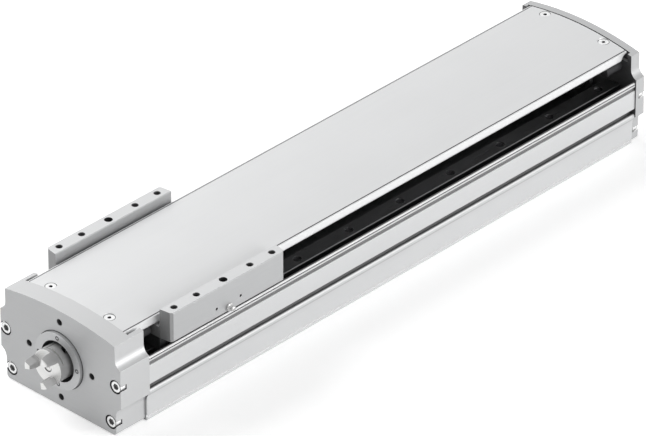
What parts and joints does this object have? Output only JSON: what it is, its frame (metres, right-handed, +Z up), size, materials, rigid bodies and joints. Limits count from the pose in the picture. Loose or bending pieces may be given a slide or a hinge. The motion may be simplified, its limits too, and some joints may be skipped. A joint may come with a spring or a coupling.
{
  "type": "ball screw linear axis",
  "caption": "Linear axis with a ball screw and guide rails in an aluminium profile, a top cover, end caps, a coupling hub and a two-armed carriage.",
  "frame": {"origin": "middle of the profile's underside, halfway along the profile and between its sides", "axes": "+X along the axis from the drive end with the coupling hub to the far end, +Y across it to the left when looking along +X, +Z up, away from the underside"},
  "size_m": [0.639, 0.1526, 0.0925],
  "materials": {
    "profile": "extruded and natural anodised, fine lines along the length",
    "drive_cap": "milled face, natural anodised",
    "far_cap": "milled, natural anodised",
    "cover": "extruded and natural anodised, satin",
    "carriage": "milled and natural anodised, satin",
    "nut_housing": "milled",
    "zinc_screws": "zinc plated",
    "dark_screws": "black oxide",
    "rail_steel": "hardened, ground faces",
    "block_steel": "hardened, ground faces",
    "screw_steel": "rolled and polished thread",
    "nut_steel": "ground",
    "hub_steel": "turned, bright",
    "collar_steel": "turned",
    "bearing_steel": "ground",
    "wiper_plastic": "moulded",
    "rubber": "moulded, matt",
    "nipple_brass": "nickel plated"
  },
  "bodies": {
    "frame": {"base_profile": "profile", "drive_end_cap": "drive_cap", "far_end_cap": "far_cap", "cover_plate": "cover", "drive_end_buffers": "rubber", "far_end_buffers": "rubber", "bearing_outer_rings": "bearing_steel", "bearing_collar": "collar_steel", "guide_rail_left": "rail_steel", "guide_rail_right": "rail_steel"},
    "spindle": {"ball_screw_spindle": "screw_steel", "bearing_inner_rings": "bearing_steel", "coupling_hub": "hub_steel", "hub_clamp_screw": "dark_screws"},
    "carriage": {"carriage_plate": "carriage", "nut_housing": "nut_housing", "ball_nut": "nut_steel", "grease_nipples": "nipple_brass", "runner_block_left_drive": "block_steel", "runner_block_left_far": "block_steel", "runner_block_right_drive": "block_steel", "runner_block_right_far": "block_steel", "block_end_plates_left_drive": "wiper_plastic", "block_end_plates_left_far": "wiper_plastic", "block_end_plates_right_drive": "wiper_plastic", "block_end_plates_right_far": "wiper_plastic"}
  },
  "joints": [
    {"name": "carriage_slide", "type": "slide", "parent": "frame", "child": "carriage", "axis": [1, 0, 0], "range_m": [0, 0.4]},
    {"name": "spindle_turn", "type": "hinge", "parent": "frame", "child": "spindle", "pos_m": [0, 0, 0.0442], "axis": [1, 0, 0], "range_deg": [-14400, 0]}
  ],
  "couplings": [
    {"joint": "spindle_turn", "follows": "carriage_slide", "rad_per_m": -628.32}
  ]
}
